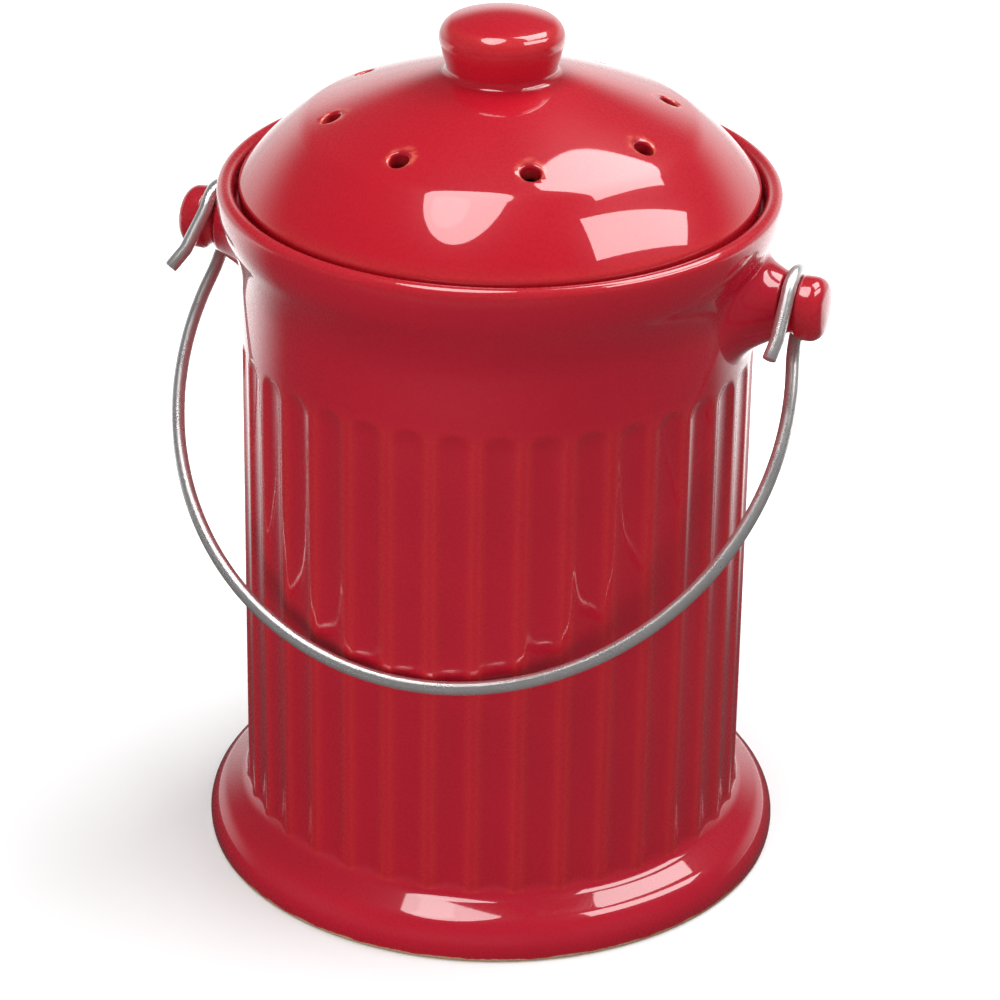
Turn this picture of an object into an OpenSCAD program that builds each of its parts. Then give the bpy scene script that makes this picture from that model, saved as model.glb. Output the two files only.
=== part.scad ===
// Fluted stoneware compost keeper: a crock with two cast lugs, a vented lid
// that lies in the crock's gallery, a wire bail and a filter disc in the lid.
// Millimetres, +Z up, +X through the right lug, -Y towards the front.
// The origin is the centre of the foot, on the surface that it stands on.

/* [Crock] */
// Outer diameter of the straight body, over the ridges between the flutes
body_d = 163; // [140:1:190]
// Thickness of the body wall
wall = 6; // [5:0.5:8]
// Height of the crock, from the foot to the top of the lip
crock_h = 229.8; // [200:0.1:270]
// Thickness of the floor over the hollow of the foot
floor_t = 9; // [6:0.5:12]
// Radius of the round inside corner between floor and wall
floor_round = 10; // [4:1:20]

/* [Foot] */
// How far the bead of the foot stands out past the body
foot_out = 12.9; // [8:0.1:16]
// Radius of the bead
foot_bead = 14; // [9:0.5:15]
// Height of the widest place of the foot
foot_mid = 4; // [3:0.5:8]
// Radius of the fillet between bead and wall
foot_fillet = 3; // [1:0.25:4]
// Width of the unglazed ring that rests on the surface
foot_ring = 15; // [8:1:24]
// Depth of the hollow inside that ring
foot_hollow = 3; // [1:0.5:5]

/* [Flutes] */
// Number of flutes round the body
flute_count = 36; // [24:2:40]
// Depth of a flute at its middle
flute_depth = 1.4; // [0.6:0.1:2]
// Width of the ridge left between two flutes
flute_ridge = 2.8; // [2:0.1:5]
// Height of the plain band above the flutes, down from the top of the lip
plain_band = 50.8; // [50.8:0.1:90]

/* [Lip] */
// How far the lip stands out past the body
lip_out = 7.1; // [5:0.1:10]
// Height of the flare below the widest place of the lip
flare_h = 29; // [24:0.5:36]
// Share of the flare's height that is hollow, the rest is full
flare_share = 0.57; // [0.4:0.01:0.7]
// Width of the ledge inside the lip that carries the lid
ledge_w = 7.8; // [6:0.1:9]
// Depth of that ledge below the top of the lip
ledge_drop = 7.8; // [6:0.1:12]
// Radius of the round on the inner edge of the ledge
ledge_round = 1.5; // [0.5:0.25:2]

/* [Lugs] */
// Depth of the lugs' axis below the top of the lip
lug_drop = 28.1; // [28:0.1:40]
// Distance from the body to the middle of the groove for the bail
lug_reach = 15.1; // [14:0.1:24]
// Diameter of the horn where it leaves the middle of the wall
horn_d = 42; // [30:0.5:42]
// Hollow radius of the horn's side
horn_sweep = 45; // [35:1:120]
// Diameter of the lug at the bottom of the groove
neck_d = 16.8; // [12:0.2:19]
// Diameter of the head and of the horn beside the groove
head_d = 20.4; // [20:0.2:26]
// Length of the head, from the groove to the tip
head_len = 8.7; // [7:0.1:14]
// Radius of the round edge of the head
head_round = 4.4; // [2:0.1:5]
// Radius of the domed end of the head
head_dome = 34; // [20:1:80]

/* [Bail] */
// Diameter of the wire
wire_d = 4.4; // [3:0.1:5]
// Clearance between the wire and the groove of the lug
hook_clear = 0.4; // [0.2:0.05:0.8]
// How far the loop bows out past the hooks on each side
bail_bow = 3.4; // [1:0.1:8]
// Radius of the reverse bend between loop and straight arm
bail_blend = 60; // [30:1:90]
// Length of the straight arm below the lug's axis
arm_len = 4.2; // [2:0.1:30]
// Length of the hook's tail below the lug's axis
tail_len = 22; // [14:0.5:30]
// Radius of the bend that turns the left tail outwards
tail_bend = 12; // [8:1:20]
// Outward splay of the left tail, degrees
tail_splay = 10; // [2:0.5:12]
// Gap between the resting wire and the front of the body
rest_gap = 0.3; // [0.3:0.1:3]

/* [Lid] */
// Gap between the lid's edge and the lip
lid_gap = 1.5; // [0.8:0.1:2.5]
// Wall of the lid
lid_wall = 6; // [4:0.5:8]
// Height of the upright edge above the ledge
edge_h = 6.8; // [5:0.1:9]
// Radius of the round at the top of that edge
edge_round = 3; // [1.5:0.25:5]
// Slope of the flank above the edge, degrees
flank_slope = 45; // [38:0.5:50]
// Length of the flank
flank_len = 21.6; // [16:0.1:26]
// Radius of the shoulder between flank and crown
shoulder_r = 18; // [12:0.5:26]
// Slope of the crown where it leaves the shoulder, degrees
crown_slope = 23.5; // [18:0.5:28]
// Radius of the crown's curve
crown_r = 400; // [250:5:600]
// Depth of the skirt below the ledge
skirt_h = 10; // [7:0.5:14]
// Thickness of the skirt
skirt_t = 5.5; // [4:0.25:7]
// Gap between the skirt and the throat of the crock
skirt_gap = 0.8; // [0.4:0.1:1.5]

/* [Vents] */
// Number of vent holes in the crown
vent_count = 8; // [4:1:12]
// Diameter of a vent hole
vent_d = 6.2; // [4:0.1:9]
// Diameter of the circle that the vents lie on
vent_circle = 104.4; // [80:0.2:112]
// Turn of the first vent from the right lug, degrees
vent_turn = -16; // [-45:0.5:45]

/* [Knob] */
// Diameter of the knob's neck
knob_neck = 33.4; // [26:0.2:36]
// Widest diameter of the knob
knob_d = 39.4; // [38:0.2:48]
// Outward flare of the knob's side, degrees
knob_flare = 17; // [12:0.5:25]
// Radius of the round shoulder of the knob
knob_round = 6; // [4:0.25:8]
// Radius of the fillet between crown and knob
knob_fillet = 2; // [0.5:0.25:4]

/* [Filter] */
// Thickness of the filter disc
filter_t = 9; // [5:0.5:12]
// How far the filter's face lies up inside the skirt
filter_inset = 1.5; // [0.5:0.25:3]
// Gap round the filter's edge
filter_gap = 0.3; // [0.2:0.05:0.8]
// Width of the seat above the filter
filter_seat = 3; // [2:0.25:5]
// Radius of the filter's round edges
filter_round = 1; // [0.5:0.25:2]

/* [Hidden] */

// Steps in a full turn, and steps in the round stretch of an outline
$fn = 144;
arc_steps = 10;
// What a cut runs past the face that it opens
past = 1;
// How far one stretch of wire reaches into the next at a bend, and by how much
// its radius is less there
lap = 0.3;
lap_thin = 0.02;
// How far behind the flutes' floor the fillet of the foot ends
fillet_sink = 0.15;

// Crock, worked out from the sizes above
body_r = body_d / 2;
throat_r = body_r - wall;
lip_r = body_r + lip_out;
gallery_r = throat_r + ledge_w;
ledge_z = crock_h - ledge_drop;
lip_round = (lip_r - gallery_r) / 2;
flare_top = crock_h - lip_round - past;
floor_z = foot_hollow + floor_t;
foot_c = body_r + foot_out - foot_bead;

// Flutes: the cutter's radius follows from the width and depth of a flute
flute_w = 2 * body_r * sin(180 / flute_count) - flute_ridge;
flute_sag = flute_w * flute_w / 4 / (2 * body_r);
flute_r = (flute_w * flute_w / 4 + pow(flute_depth - flute_sag, 2)) / (2 * (flute_depth - flute_sag));
flute_top = crock_h - plain_band;
// The foot's fillet ends inside the wall, behind the flutes' floor
fillet_c = body_r - flute_depth - fillet_sink + foot_fillet;
fillet_z = foot_mid + sqrt(pow(foot_bead + foot_fillet, 2) - pow(fillet_c - foot_c, 2));

// Lugs and bail: the hooks lie in the lugs' grooves with the same clearance all round
wire_r = wire_d / 2;
lug_z = crock_h - lug_drop;
lug_x = body_r + lug_reach;
groove_r = wire_r + hook_clear;
hook_r = neck_d / 2 + groove_r;
groove_low = max(0, hook_r - head_d / 2);
groove_w = sqrt(groove_r * groove_r - groove_low * groove_low);
head_x = lug_x + groove_w + head_len;
loop_r = lug_x + bail_bow;
blend_a = acos((lug_x + bail_blend) / (loop_r + bail_blend));
loop_z = arm_len + (loop_r + bail_blend) * sin(blend_a);
bail_drop = loop_z + loop_r;
bail_reach = sqrt(bail_drop * bail_drop + hook_r * hook_r);
rest_a = atan2(hook_r, bail_drop) + asin((body_r + wire_r + rest_gap) / bail_reach);

// Lid: it stands in the gallery with its edge, and in the throat with its skirt
lid_r = gallery_r - lid_gap;
skirt_r = throat_r - skirt_gap;
bore_r = skirt_r - skirt_t;
skirt_z = ledge_z - skirt_h;
seat_z = skirt_z + filter_inset + filter_t;

// Points on an arc of radius r round centre c, from angle a0 to angle a1
function arc(c, r, a0, a1) =
    [for (i = [0 : arc_steps]) let (a = a0 + (a1 - a0) * i / arc_steps) c + r * dir(a)];
// Unit vector at angle a, and the last point of an outline
function dir(a) = [cos(a), sin(a)];
function last(p) = p[len(p) - 1];
// Arc that starts at p, where its outward normal has angle a0, and turns to a1
function bend(p, r, a0, a1) = arc(p - r * dir(a0), r, a0, a1);
// Hollow arc of radius r from p to q, which bulges to the left of that way
function sag_arc(p, q, r) =
    let (h = norm(q - p) / 2, n = [p[1] - q[1], q[0] - p[0]] / (2 * h),
         c = (p + q) / 2 - n * sqrt(r * r - h * h),
         a0 = atan2(p[1] - c[1], p[0] - c[0]), a1 = atan2(q[1] - c[1], q[0] - c[0]))
    arc(c, r, a0, a1);

// ---- Crock ----

// Half of the foot: bead and fillet. The flutes run out on the fillet, and the
// ridges between them end there in rounded tips
module foot_outline() {
    bead_low = asin(foot_mid / foot_bead);
    fillet_a = atan2(fillet_z - foot_mid, fillet_c - foot_c);
    polygon(concat(
        [[0, 0]],
        arc([foot_c, foot_mid], foot_bead, -bead_low, fillet_a),
        arc([fillet_c, fillet_z], foot_fillet, fillet_a + 180, 180),
        [[0, fillet_z]]));
}

// Half of the body's outer form above the foot: wall, flare and lip
module body_outline() {
    // The flare is two arcs that meet at slope flare_a
    flare_a = 2 * atan(lip_out / flare_h);
    flare_sum = flare_h / sin(flare_a);
    low_r = flare_sum * flare_share;
    high_r = flare_sum - low_r;
    low = arc([body_r + low_r, flare_top - flare_h], low_r, 180, 180 - flare_a);
    high = arc([lip_r - high_r, flare_top], high_r, -flare_a, 0);
    polygon(concat(
        [[0, foot_mid], [body_r, foot_mid]],
        low, high,
        arc([lip_r - lip_round, crock_h - lip_round], lip_round, 0, 90),
        [[0, crock_h]]));
}

// Half of the hollow: gallery, ledge, throat and floor
module hollow_outline() {
    polygon(concat(
        [[0, floor_z]],
        arc([throat_r - floor_round, floor_z + floor_round], floor_round, -90, 0),
        arc([throat_r + ledge_round, ledge_z - ledge_round], ledge_round, 180, 90),
        [[gallery_r, ledge_z]],
        arc([gallery_r + lip_round, crock_h - lip_round], lip_round, 180, 90),
        [[gallery_r + lip_round, crock_h + past], [0, crock_h + past]]));
}

// A flute's cutter: a round bar with a ball at the top, whose axis stands outside
// the wall. Its lower end lies inside the foot
module flute_cutter() {
    half = sqrt(flute_r * flute_r - pow(flute_r - flute_depth + flute_sag, 2));
    low = foot_mid + past;
    translate([body_r - flute_depth + flute_r, 0, 0])
        rotate_extrude()
            intersection() {
                union() {
                    translate([0, flute_top - half]) circle(flute_r);
                    translate([0, low]) square([flute_r, flute_top - half - low]);
                }
                translate([0, low]) square([flute_r, flute_top - low]);
            }
}

// A lug: horn, groove for the hook, and head, turned about its own axis
module lug() {
    root = [horn_d / 2, body_r - wall / 2];
    groove_a = asin(groove_low / groove_r);
    tip_x = head_x;
    dome_c = tip_x - head_dome;
    round_a = acos((head_d / 2 - head_round) / (head_dome - head_round));
    round_c = [head_d / 2 - head_round, dome_c + (head_dome - head_round) * sin(round_a)];
    rotate([0, 90, 0])
        rotate_extrude()
            polygon(concat(
                [[0, root[1]]],
                sag_arc(root, [head_d / 2, lug_x - groove_w], horn_sweep),
                arc([hook_r, lug_x], groove_r, 270 - (90 - groove_a), 90 + groove_a),
                [[head_d / 2, round_c[1]]],
                arc(round_c, head_round, 0, round_a),
                arc([0, dome_c], head_dome, round_a, 90)));
}

module crock() {
    color("#a8202e")
        difference() {
            union() {
                rotate_extrude() foot_outline();
                difference() {
                    rotate_extrude() body_outline();
                    for (i = [0 : flute_count - 1])
                        rotate([0, 0, i * 360 / flute_count]) flute_cutter();
                }
                for (side = [0, 180])
                    rotate([0, 0, side]) translate([0, 0, lug_z]) lug();
            }
            rotate_extrude() hollow_outline();
            // Hollow of the foot, with a sloped side
            foot_in = foot_c + sqrt(foot_bead * foot_bead - foot_mid * foot_mid) - foot_ring;
            translate([0, 0, -past])
                cylinder(h = foot_hollow + past, r1 = foot_in + past, r2 = foot_in - foot_hollow);
        }
}

// ---- Lid ----

// Centre of the crown's curve and the normals at which its stretches end
flank_n = 90 - flank_slope;
crown_n = 90 - crown_slope;
edge_p = [lid_r, ledge_z + edge_h];
flank_p = last(bend(edge_p, edge_round, 0, flank_n));
shoulder_p = flank_p + flank_len * dir(flank_n + 90);
shoulder_c = shoulder_p - shoulder_r * dir(flank_n);
crown_c = shoulder_c + (shoulder_r - crown_r) * dir(crown_n);
// Normal of the crown at distance x from the lid's axis, on a skin at depth t
function crown_a(x, t = 0) = acos((x - crown_c[0]) / (crown_r - t));

// The knob's outline, from the fillet on the crown up to the axis
function knob_path() =
    let (neck_r = knob_neck / 2, crown_end = crown_a(neck_r + knob_fillet),
         foot_p = crown_c + crown_r * dir(crown_a(neck_r)),
         n = dir(crown_end) + dir(-knob_flare),
         fillet_c = foot_p + knob_fillet * n / (1 + dir(crown_end) * dir(-knob_flare)),
         wide_r = knob_d / 2 - knob_round,
         side_h = (wide_r + knob_round * cos(knob_flare) - neck_r) / tan(knob_flare),
         round_c = foot_p + [wide_r - neck_r, side_h + knob_round * sin(knob_flare)],
         top_a = 70, top_p = round_c + knob_round * dir(top_a), top_r = top_p[0] / cos(top_a))
    concat(arc(fillet_c, knob_fillet, crown_end - 180, -knob_flare - 180),
           arc(round_c, knob_round, -knob_flare, top_a),
           arc(top_p - top_r * dir(top_a), top_r, top_a, 90));

module lid_outline() {
    skirt_round = skirt_t / 3;
    edge_foot = edge_round / 2;
    inner_r = bore_r - filter_seat;
    // The inner skin runs parallel to the outer one, down to the filter's seat
    inner_flank = flank_p - lid_wall * dir(flank_n);
    inner_z = inner_flank[1] + (inner_flank[0] - inner_r) * tan(flank_slope);
    hub_r = knob_neck / 4;
    polygon(concat(
        arc([bore_r + skirt_round, skirt_z + skirt_round], skirt_round, 180, 270),
        arc([skirt_r - skirt_round, skirt_z + skirt_round], skirt_round, -90, 0),
        [[skirt_r, ledge_z]],
        arc([lid_r - edge_foot, ledge_z + edge_foot], edge_foot, -90, 0),
        bend(edge_p, edge_round, 0, flank_n),
        bend(shoulder_p, shoulder_r, flank_n, crown_n),
        arc(crown_c, crown_r, crown_n, crown_a(knob_neck / 2 + knob_fillet)),
        knob_path(),
        [[0, (crown_c + (crown_r - lid_wall) * dir(crown_a(hub_r, lid_wall)))[1]]],
        arc(crown_c, crown_r - lid_wall, crown_a(hub_r, lid_wall), crown_n),
        arc(shoulder_c, shoulder_r - lid_wall, crown_n, flank_n),
        [[inner_r, inner_z], [inner_r, seat_z], [bore_r, seat_z]]));
}

module lid() {
    vent_a = crown_a(vent_circle / 2);
    vent_p = crown_c + crown_r * dir(vent_a);
    color("#c8202f")
        difference() {
            rotate_extrude() lid_outline();
            // The vents stand square to the crown
            for (i = [0 : vent_count - 1])
                rotate([0, 0, vent_turn + i * 360 / vent_count])
                    translate([vent_p[0], 0, vent_p[1]])
                        rotate([0, 90 - vent_a, 0])
                            cylinder(h = 4 * lid_wall, d = vent_d, center = true);
        }
}

// ---- Bail ----

// A bend of the wire in the plane of X and Z, of centreline radius r round c,
// from angle a0 by the angle turn
module wire_arc(c, r, a0, turn, thin = 0) {
    translate([c[0], 0, c[1]])
        rotate([90, 0, 0])
            rotate([0, 0, a0])
                rotate_extrude(angle = turn) translate([r, 0]) circle(wire_r - thin, $fn = 32);
}

// Straight wire from the origin down
module wire_rod(len, thin = 0) {
    translate([0, 0, -len]) cylinder(h = len, r = wire_r - thin, $fn = 32);
}

// One side of the bail, as it would hang with its arm straight down: the arm
// lies behind the lug's axis and the tail before it. The reverse bend reaches
// a little way into the loop.
module side_wire(splay) {
    translate([0, hook_r, 0]) {
        wire_arc([lug_x + bail_blend, -arm_len], bail_blend, 180, blend_a + lap / bail_blend * 180 / PI, lap_thin);
        translate([lug_x, 0, 0]) wire_rod(arm_len);
    }
    translate([lug_x, 0, 0]) {
        rotate([0, 0, 90]) wire_arc([0, 0], hook_r, 0, 180);
        translate([0, -hook_r, 0]) tail(splay);
    }
}

// The hook's tail: straight, or bent outwards by the angle splay
module tail(splay) {
    if (splay > 0) {
        wire_arc([tail_bend, 0], tail_bend, 180, splay);
        translate([tail_bend, 0, 0]) rotate([0, -splay, 0]) translate([-tail_bend, 0, lap])
            wire_rod(tail_len - tail_bend * sin(splay) + lap, lap_thin);
    } else {
        wire_rod(tail_len);
    }
}

module bail() {
    color("#b9b9b6")
        translate([0, 0, lug_z])
            rotate([-rest_a, 0, 0]) {
                translate([0, hook_r, 0])
                    wire_arc([0, -loop_z], loop_r, -180 - blend_a, 180 + 2 * blend_a);
                side_wire(0);
                mirror([1, 0, 0]) side_wire(tail_splay);
            }
}

// ---- Filter ----

module carbon_filter() {
    disc_r = bore_r - filter_gap;
    color("#2c2c2e")
        translate([0, 0, seat_z - filter_t])
            rotate_extrude()
                polygon(concat(
                    [[0, 0]],
                    arc([disc_r - filter_round, filter_round], filter_round, -90, 0),
                    arc([disc_r - filter_round, filter_t - filter_round], filter_round, 0, 90),
                    [[0, filter_t]]));
}

crock();
lid();
bail();
carbon_filter();
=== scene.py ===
import math
import bpy
from mathutils import Matrix, Vector


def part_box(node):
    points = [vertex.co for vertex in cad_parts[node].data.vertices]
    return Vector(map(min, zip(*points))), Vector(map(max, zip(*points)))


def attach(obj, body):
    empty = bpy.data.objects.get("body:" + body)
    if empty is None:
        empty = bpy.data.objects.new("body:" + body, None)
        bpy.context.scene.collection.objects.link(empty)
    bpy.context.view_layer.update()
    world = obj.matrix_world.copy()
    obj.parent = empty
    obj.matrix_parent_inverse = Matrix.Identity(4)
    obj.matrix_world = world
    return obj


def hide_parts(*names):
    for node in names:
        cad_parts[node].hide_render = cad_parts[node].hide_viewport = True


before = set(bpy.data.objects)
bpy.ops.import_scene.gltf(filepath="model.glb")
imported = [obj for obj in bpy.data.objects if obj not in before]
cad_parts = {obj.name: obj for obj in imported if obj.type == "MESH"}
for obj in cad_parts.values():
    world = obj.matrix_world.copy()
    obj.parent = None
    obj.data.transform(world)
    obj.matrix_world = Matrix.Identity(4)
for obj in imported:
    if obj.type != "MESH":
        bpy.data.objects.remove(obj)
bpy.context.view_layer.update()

mm = 0.001
mergeGap = 0.004  # mm, vertices closer than this are one
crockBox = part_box("crock")
print("frame loaded, crock stands", round(crockBox[1].z / mm, 1), "mm high")


# ---- helpers: selection, outlines and spins ----

def clearSelection():
    if bpy.context.object and bpy.context.object.mode != "OBJECT":
        bpy.ops.object.mode_set(mode="OBJECT")
    bpy.ops.object.select_all(action="DESELECT")


def pickOnly(piece):
    clearSelection()
    piece.select_set(True)
    bpy.context.view_layer.objects.active = piece


def around(centre, radius, start, end, steps):
    # points on an arc in mm, angles in degrees
    points = []
    for i in range(steps + 1):
        a = math.radians(start + (end - start) * i / steps)
        points.append((centre[0] + radius * math.cos(a), centre[1] + radius * math.sin(a)))
    return points


def drawOutline(name, points, azimuth=0.0):
    # a plane merged to one corner, then pulled from point to point
    turn = math.radians(azimuth)
    way = Vector((math.cos(turn), math.sin(turn), 0))
    places = [(way * p[0] + Vector((0, 0, p[1]))) * mm for p in points]
    clearSelection()
    bpy.ops.mesh.primitive_plane_add(size=0.01, location=places[0])
    outline = bpy.context.object
    outline.name = name
    outline.data.name = name
    bpy.ops.object.mode_set(mode="EDIT")
    bpy.ops.mesh.select_all(action="SELECT")
    bpy.ops.mesh.merge(type="CENTER")
    for here, there in zip(places, places[1:]):
        step = there - here
        if step.length > 1e-7:
            bpy.ops.mesh.extrude_vertices_move(TRANSFORM_OT_translate={"value": step})
    bpy.ops.mesh.select_all(action="SELECT")
    return outline


def closeMesh(piece):
    # seams and poles merged, then all faces turned outwards
    pickOnly(piece)
    bpy.ops.object.transform_apply(location=True, rotation=True, scale=True)
    bpy.ops.object.mode_set(mode="EDIT")
    bpy.ops.mesh.select_all(action="SELECT")
    bpy.ops.mesh.remove_doubles(threshold=mergeGap * mm)
    bpy.ops.mesh.normals_make_consistent(inside=False)
    bpy.ops.object.mode_set(mode="OBJECT")


def spinFull(piece, steps, centre=(0, 0, 0), axis=(0, 0, 1)):
    bpy.ops.mesh.spin(steps=steps, angle=2 * math.pi, center=centre, axis=axis)
    bpy.ops.object.mode_set(mode="OBJECT")
    closeMesh(piece)


def applyModifier(piece, kind, name, **values):
    pickOnly(piece)
    added = piece.modifiers.new(name, kind)
    for key, value in values.items():
        setattr(added, key, value)
    bpy.ops.object.modifier_apply(modifier=added.name)


def smoothMax(a, b, reach):
    near = max(reach - abs(a - b), 0) / reach
    return max(a, b) + near * near * reach / 4


def offMiddle(place, count, start=0.0):
    # angle from the nearest of a ring's evenly spaced middles, in radians
    step = 2 * math.pi / count
    return (math.atan2(place.y, place.x) - start + step / 2) % step - step / 2


def hump(value, middle, width):
    return math.exp(-((value - middle) / width) ** 2)


def pointMask(piece, name, value):
    # one number at each vertex, for the material to read
    mask = piece.data.attributes.new(name, "FLOAT", "POINT")
    mask.data.foreach_set("value", [value(v.co / mm) for v in piece.data.vertices])


# ---- node groups that several materials share ----

def newGroup(name, inputs, outputs):
    group = bpy.data.node_groups.new(name, "ShaderNodeTree")
    for label, kind, value in inputs:
        socket = group.interface.new_socket(name=label, in_out="INPUT", socket_type=kind)
        socket.default_value = value
    for label, kind in outputs:
        group.interface.new_socket(name=label, in_out="OUTPUT", socket_type=kind)
    return group, group.nodes.new("NodeGroupInput"), group.nodes.new("NodeGroupOutput")


def addNode(tree, kind, place=(0, 0), **values):
    node = tree.nodes.new(kind)
    node.location = place
    for key, value in values.items():
        setattr(node, key, value)
    return node


def mixColour(tree, factor, first, second, place):
    # factor and colours are sockets or plain values
    node = addNode(tree, "ShaderNodeMix", place, data_type="RGBA")
    for socket, given in ((node.inputs[0], factor), (node.inputs[6], first), (node.inputs[7], second)):
        if isinstance(given, bpy.types.NodeSocket):
            tree.links.new(given, socket)
        else:
            socket.default_value = given
    return node.outputs[2]


def ramp(tree, source, low, high, place, fromValue=0.0, toValue=1.0):
    node = addNode(tree, "ShaderNodeMapRange", place, interpolation_type="SMOOTHSTEP")
    tree.links.new(source, node.inputs["Value"])
    node.inputs["From Min"].default_value = low
    node.inputs["From Max"].default_value = high
    node.inputs["To Min"].default_value = fromValue
    node.inputs["To Max"].default_value = toValue
    return node.outputs["Result"]


def maths(tree, operation, first, second, place):
    node = addNode(tree, "ShaderNodeMath", place, operation=operation)
    for socket, given in zip(node.inputs, (first, second)):
        if isinstance(given, bpy.types.NodeSocket):
            tree.links.new(given, socket)
        elif given is not None:
            socket.default_value = given
    return node.outputs[0]


def noise(tree, coords, scale, detail, place, rough=0.5):
    node = addNode(tree, "ShaderNodeTexNoise", place)
    node.inputs["Scale"].default_value = scale
    node.inputs["Detail"].default_value = detail
    node.inputs["Roughness"].default_value = rough
    tree.links.new(coords, node.inputs["Vector"])
    return node.outputs["Fac"]


def addBump(tree, shader, height, strength, distance, place):
    bump = addNode(tree, "ShaderNodeBump", place)
    bump.inputs["Strength"].default_value = strength
    bump.inputs["Distance"].default_value = distance
    tree.links.new(height, bump.inputs["Height"])
    tree.links.new(bump.outputs["Normal"], shader.inputs["Normal"])


def makeGlazeGroup():
    # pooled glaze is deeper, thin glaze on edges is lighter and more orange; Deep also brings painted shade,
    # as the darker colour inside the lid's vents
    group, given, out = newGroup("glazeFlow", [
        ("Colour", "NodeSocketColor", (0.5, 0.02, 0.03, 1)),
        ("Deep Colour", "NodeSocketColor", (0.3, 0.01, 0.02, 1)),
        ("Thin Colour", "NodeSocketColor", (0.7, 0.1, 0.03, 1)),
        ("Thin", "NodeSocketFloat", 0.0),
        ("Deep", "NodeSocketFloat", 0.0),
        ("Waviness", "NodeSocketFloat", 0.03),
    ], [("Colour", "NodeSocketColor"), ("Roughness", "NodeSocketFloat"), ("Height", "NodeSocketFloat")])
    coords = addNode(group, "ShaderNodeTexCoord", (-1200, 0)).outputs["Object"]
    clouds = noise(group, coords, 28, 3, (-1000, 200))
    specks = noise(group, coords, 900, 2, (-1000, -50))
    ripple = noise(group, coords, 75, 1, (-1000, -300))
    pooled = ramp(group, clouds, 0.35, 0.7, (-800, 200), 0.0, 0.22)
    pooled = maths(group, "ADD", pooled, given.outputs["Deep"], (-600, 250))
    colour = mixColour(group, pooled, given.outputs["Colour"], given.outputs["Deep Colour"], (-400, 200))
    mottled = ramp(group, specks, 0.3, 0.7, (-800, -50), 0.75, 1.15)
    thin = maths(group, "MULTIPLY", given.outputs["Thin"], mottled, (-600, 0))
    colour = mixColour(group, thin, colour, given.outputs["Thin Colour"], (-200, 150))
    group.links.new(colour, out.inputs["Colour"])
    rough = ramp(group, specks, 0.3, 0.75, (-400, -150), 0.24, 0.34)
    group.links.new(rough, out.inputs["Roughness"])
    wave = maths(group, "MULTIPLY", ripple, given.outputs["Waviness"], (-400, -350))
    fine = maths(group, "MULTIPLY", specks, 0.0002, (-400, -500))
    group.links.new(maths(group, "ADD", wave, fine, (-200, -400)), out.inputs["Height"])
    return group


def makeClayGroup():
    # bare fired clay: sandy, matt, with a ragged edge where the glaze was wiped off
    group, given, out = newGroup("bareClay", [
        ("Edge Height", "NodeSocketFloat", 0.0006),
    ], [("Mask", "NodeSocketFloat"), ("Colour", "NodeSocketColor"), ("Height", "NodeSocketFloat")])
    coords = addNode(group, "ShaderNodeTexCoord", (-1200, 0)).outputs["Object"]
    split = addNode(group, "ShaderNodeSeparateXYZ", (-1000, 0))
    group.links.new(coords, split.inputs[0])
    ragged = noise(group, coords, 160, 3, (-1000, -200))
    ragged = ramp(group, ragged, 0.3, 0.7, (-800, -200), -0.00025, 0.00035)
    edge = maths(group, "ADD", given.outputs["Edge Height"], ragged, (-600, -200))
    above = maths(group, "SUBTRACT", split.outputs["Z"], edge, (-400, -100))
    mask = ramp(group, above, -0.00008, 0.00008, (-200, -100), 1.0, 0.0)
    group.links.new(mask, out.inputs["Mask"])
    sand = noise(group, coords, 1600, 4, (-800, 300), 0.7)
    tone = ramp(group, sand, 0.3, 0.7, (-600, 300))
    colour = mixColour(group, tone, (0.36, 0.21, 0.11, 1), (0.6, 0.42, 0.26, 1), (-400, 300))
    group.links.new(colour, out.inputs["Colour"])
    group.links.new(maths(group, "MULTIPLY", sand, 0.02, (-400, 500)), out.inputs["Height"])
    return group


glazeFlow = makeGlazeGroup()
bareClay = makeClayGroup()


def useGroup(tree, group, place, **values):
    node = addNode(tree, "ShaderNodeGroup", place, node_tree=group)
    for key, value in values.items():
        node.inputs[key].default_value = value
    return node


def newMaterial(name):
    material = bpy.data.materials.new(name)
    material.use_nodes = True
    shader = material.node_tree.nodes["Principled BSDF"]
    return material, material.node_tree, shader


def dress(piece, material):
    piece.data.materials.clear()
    piece.data.materials.append(material)
    pickOnly(piece)


glazeCoat = {"ior": 1.65, "under": 0.12, "clayRough": 0.9, "bumpDepth": 0.001}


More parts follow.
